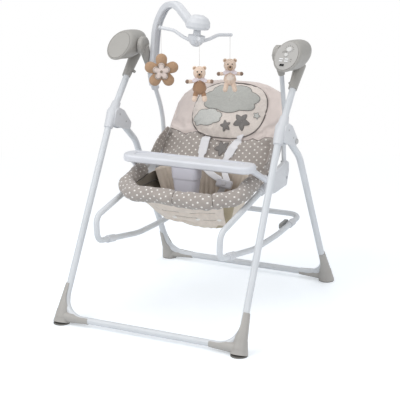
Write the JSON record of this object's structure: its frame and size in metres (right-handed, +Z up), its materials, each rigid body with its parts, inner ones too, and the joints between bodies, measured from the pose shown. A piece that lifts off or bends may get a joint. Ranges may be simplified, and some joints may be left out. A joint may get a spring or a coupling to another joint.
{
  "type": "baby swing",
  "caption": "Folding infant swing: splayed tube stand, swinging bucket seat with reclining back, pull-off tray, rocker base and a turning mobile with plush toys.",
  "frame": {"origin": "centre of the footprint, on the floor under the four foot pads", "axes": "+Z up; front of the seat and tray toward -Y; baby's left, the control panel side, toward +X"},
  "size_m": [0.6922, 0.816, 1.0065],
  "materials": {
    "tube_white": "semi-gloss powder coat",
    "hub_white": "satin moulded",
    "screw_steel": "plated",
    "foot_grey": "fine texture",
    "pad_grey": "matt",
    "button_grey": "satin",
    "head_grey": "satin moulded",
    "panel_grey": "satin",
    "drive_dark": "plain",
    "bush_brass": "turned",
    "axle_steel": "plated",
    "dot_fabric": "printed woven",
    "sling_fabric": "woven",
    "inner_fabric": "woven",
    "pillow_fabric": "soft pile",
    "strap_webbing": "webbing",
    "buckle_plastic": "satin",
    "tray_white": "satin moulded",
    "string_cord": "twisted cord",
    "toy_brown": "short plush",
    "toy_beige": "short plush"
  },
  "bodies": {
    "stand": {"front_floor_bar": "tube_white", "front_leg_tubes": "tube_white", "upper_tubes": "tube_white", "side_hub_right": "hub_white", "side_hub_left": "hub_white", "hub_screws": "screw_steel", "front_feet": "foot_grey", "front_foot_pads": "pad_grey", "head_housing_right": "head_grey", "head_housing_left": "head_grey", "head_cover_left": "head_grey", "control_panel": "panel_grey", "drive_unit": "drive_dark", "axle_bushes": "bush_brass"},
    "rear_frame": {"rear_floor_bar": "tube_white", "rear_leg_tubes": "tube_white", "rear_feet": "foot_grey", "rear_foot_pads": "pad_grey"},
    "fold_button_right": {"fold_button_right": "button_grey"},
    "fold_button_left": {"fold_button_left": "button_grey"},
    "speed_button": {"speed_button": "button_grey"},
    "music_button": {"music_button": "button_grey"},
    "swing": {"swing_axles": "axle_steel", "arm_elbows": "head_grey", "swing_arm_right": "tube_white", "swing_arm_left": "tube_white", "seat_hub_right": "hub_white", "seat_hub_left": "hub_white", "rocker_legs": "tube_white", "rocker_runner": "tube_white", "rocker_sleeves": "hub_white", "seat_frame_tube": "axle_steel", "rim_roll": "dot_fabric", "seat_bucket": "sling_fabric", "seat_pad": "inner_fabric", "side_wings": "dot_fabric", "harness_buckle": "buckle_plastic", "harness_straps": "strap_webbing", "mobile_clamp": "hub_white", "mobile_arm": "hub_white", "mobile_dome": "hub_white"},
    "backrest": {"back_frame_tube": "axle_steel", "back_cushion": "dot_fabric", "head_pillow": "pillow_fabric", "shoulder_straps": "strap_webbing"},
    "tray": {"tray": "tray_white", "tray_post": "tray_white"},
    "kickstand_right": {"kickstand_right": "button_grey"},
    "kickstand_left": {"kickstand_left": "button_grey"},
    "mobile_rotor": {"mobile_rotor": "hub_white"},
    "flower": {"flower_string": "string_cord", "flower_toy": "toy_brown"},
    "bear": {"bear_string": "string_cord", "bear_head": "toy_beige", "bear_body": "toy_beige", "bear_limbs": "toy_beige"},
    "doll": {"doll_string": "string_cord", "doll_head": "toy_beige", "doll_body": "toy_beige", "doll_limbs": "toy_beige"}
  },
  "joints": [
    {"name": "frame_fold", "type": "hinge", "parent": "stand", "child": "rear_frame", "pos_m": [0, 0.005, 0.6], "axis": [-1, 0, 0], "range_deg": [0, 45]},
    {"name": "fold_button_right_press", "type": "slide", "parent": "stand", "child": "fold_button_right", "axis": [-1, 0, 0], "range_m": [0, 0.003], "stiffness_N_per_m": 400},
    {"name": "fold_button_left_press", "type": "slide", "parent": "stand", "child": "fold_button_left", "axis": [1, 0, 0], "range_m": [0, 0.003], "stiffness_N_per_m": 400},
    {"name": "speed_button_press", "type": "slide", "parent": "stand", "child": "speed_button", "axis": [0, 0.7431, -0.6691], "range_m": [0, 0.0015], "stiffness_N_per_m": 600},
    {"name": "music_button_press", "type": "slide", "parent": "stand", "child": "music_button", "axis": [0, 0.7431, -0.6691], "range_m": [0, 0.0015], "stiffness_N_per_m": 600},
    {"name": "swing_hinge", "type": "hinge", "parent": "stand", "child": "swing", "pos_m": [0, 0.07, 0.85], "axis": [1, 0, 0], "range_deg": [-15, 15]},
    {"name": "recline", "type": "hinge", "parent": "swing", "child": "backrest", "pos_m": [0, 0.131, 0.415], "axis": [-1, 0, 0], "range_deg": [0, 12]},
    {"name": "tray_pull_off", "type": "slide", "parent": "swing", "child": "tray", "axis": [0, -0.7431, 0.6691], "range_m": [0, 0.06]},
    {"name": "kickstand_right_flip", "type": "hinge", "parent": "swing", "child": "kickstand_right", "pos_m": [0.195, 0.28092, 0.22753], "axis": [1, 0, 0], "range_deg": [0, 90]},
    {"name": "kickstand_left_flip", "type": "hinge", "parent": "swing", "child": "kickstand_left", "pos_m": [-0.195, 0.28092, 0.22753], "axis": [1, 0, 0], "range_deg": [0, 90]},
    {"name": "mobile_spin", "type": "hinge", "parent": "swing", "child": "mobile_rotor", "pos_m": [-0.0035, -0.012, 0.9105], "axis": [0.1032, 0.0506, 0.9934], "continuous": true},
    {"name": "flower_dangle", "type": "hinge", "parent": "mobile_rotor", "child": "flower", "pos_m": [-0.1338, -0.01075, 0.91868], "axis": [-0.0096, -1, 0], "range_deg": [-15, 15]},
    {"name": "bear_dangle", "type": "hinge", "parent": "mobile_rotor", "child": "bear", "pos_m": [0.06213, 0.10068, 0.89264], "axis": [-0.8641, 0.5033, 0], "range_deg": [-15, 15]},
    {"name": "doll_dangle", "type": "hinge", "parent": "mobile_rotor", "child": "doll", "pos_m": [0.06117, -0.12592, 0.90428], "axis": [0.8696, 0.4937, 0], "range_deg": [-15, 15]}
  ]
}
